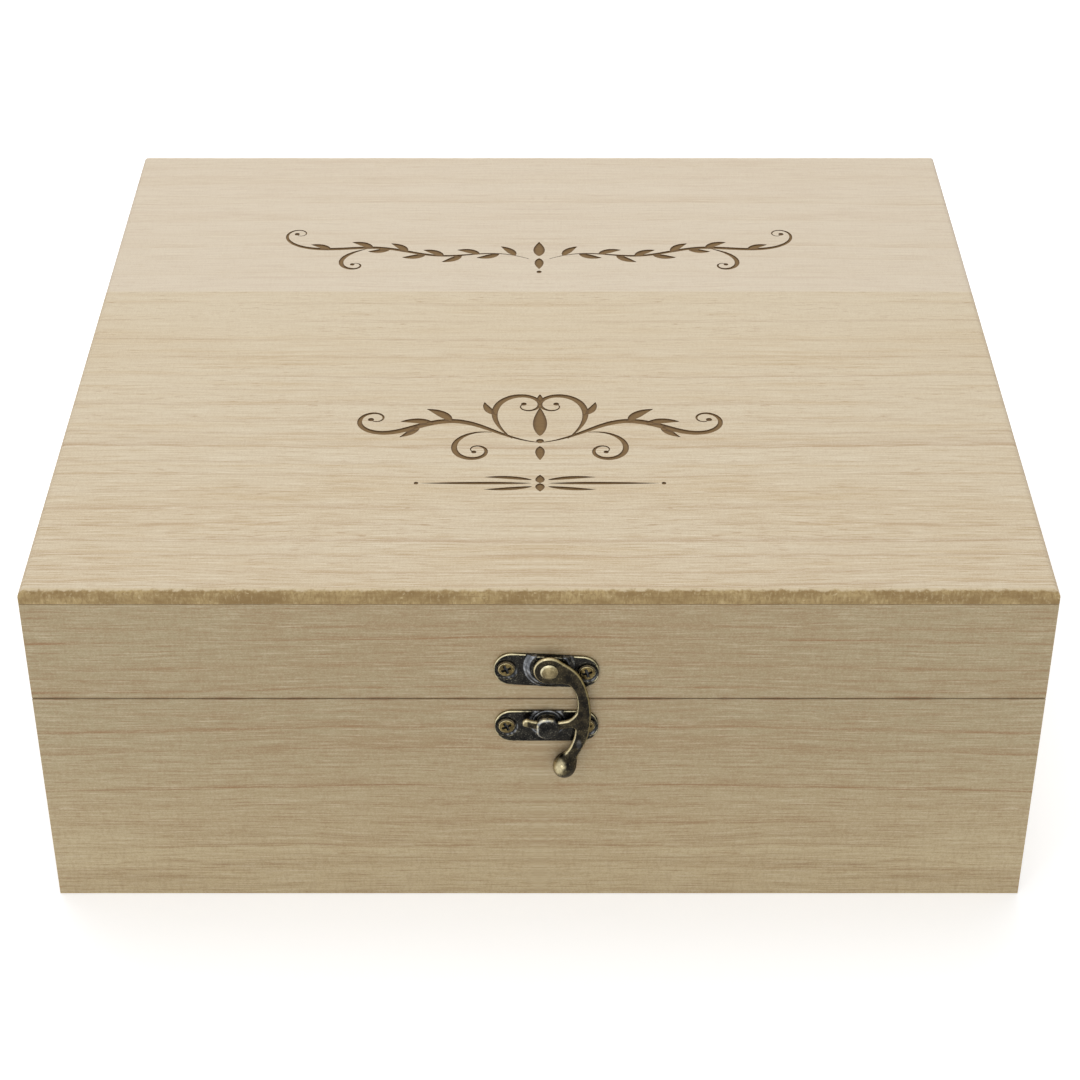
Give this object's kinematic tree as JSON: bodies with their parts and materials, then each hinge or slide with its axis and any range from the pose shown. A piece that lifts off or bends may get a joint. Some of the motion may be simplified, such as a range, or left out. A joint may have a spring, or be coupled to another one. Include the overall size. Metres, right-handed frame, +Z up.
{
  "type": "keepsake box",
  "caption": "Rectangular wooden keepsake box whose framed lid turns on back hinges with stops and is held shut by a swing-hook clasp on the front.",
  "frame": {"origin": "centre of the flat underside of the wooden box", "axes": "+X to the right along the front, +Y to the back where the hinges are, +Z up"},
  "size_m": [0.28, 0.2764, 0.1085],
  "materials": {
    "pale_wood": "bare sanded pale wood, fine straight grain",
    "lid_wood": "bare sanded pale wood, edge-glued, engraved",
    "floor_wood": "bare sanded pale wood panel",
    "antique_bronze": "dark antique plating, worn bright along the edges",
    "worn_bronze": "antique plating rubbed through to a dull brass",
    "screw_brass": "dull brass plating with dark recesses"
  },
  "bodies": {
    "base": {"base_front_board": "pale_wood", "base_back_board": "pale_wood", "base_left_board": "pale_wood", "base_right_board": "pale_wood", "base_bottom_panel": "floor_wood", "clasp_catch_plate": "antique_bronze", "clasp_catch_plate_screws": "screw_brass", "clasp_catch_post": "antique_bronze", "hinge_left_base_leaf": "antique_bronze", "hinge_left_pin": "worn_bronze", "hinge_left_base_screws": "screw_brass", "hinge_right_base_leaf": "antique_bronze", "hinge_right_pin": "worn_bronze", "hinge_right_base_screws": "screw_brass"},
    "lid": {"lid_front_board": "pale_wood", "lid_back_board": "pale_wood", "lid_left_board": "pale_wood", "lid_right_board": "pale_wood", "lid_top_front_board": "lid_wood", "lid_top_back_board": "lid_wood", "clasp_hook_plate": "antique_bronze", "clasp_hook_plate_screws": "screw_brass", "clasp_pivot_rivet": "worn_bronze", "hinge_left_lid_leaf": "antique_bronze", "hinge_left_lid_screws": "screw_brass", "hinge_right_lid_leaf": "antique_bronze", "hinge_right_lid_screws": "screw_brass"},
    "hook": {"clasp_hook": "antique_bronze"}
  },
  "joints": [
    {"name": "lid_hinge", "type": "hinge", "parent": "base", "child": "lid", "pos_m": [0, 0.1346, 0.0723], "axis": [-1, 0, 0], "range_deg": [0, 105]},
    {"name": "clasp_swing", "type": "hinge", "parent": "lid", "child": "hook", "pos_m": [0.0028, -0.1353, 0.0842], "axis": [0, -1, 0], "range_deg": [0, 305]}
  ]
}
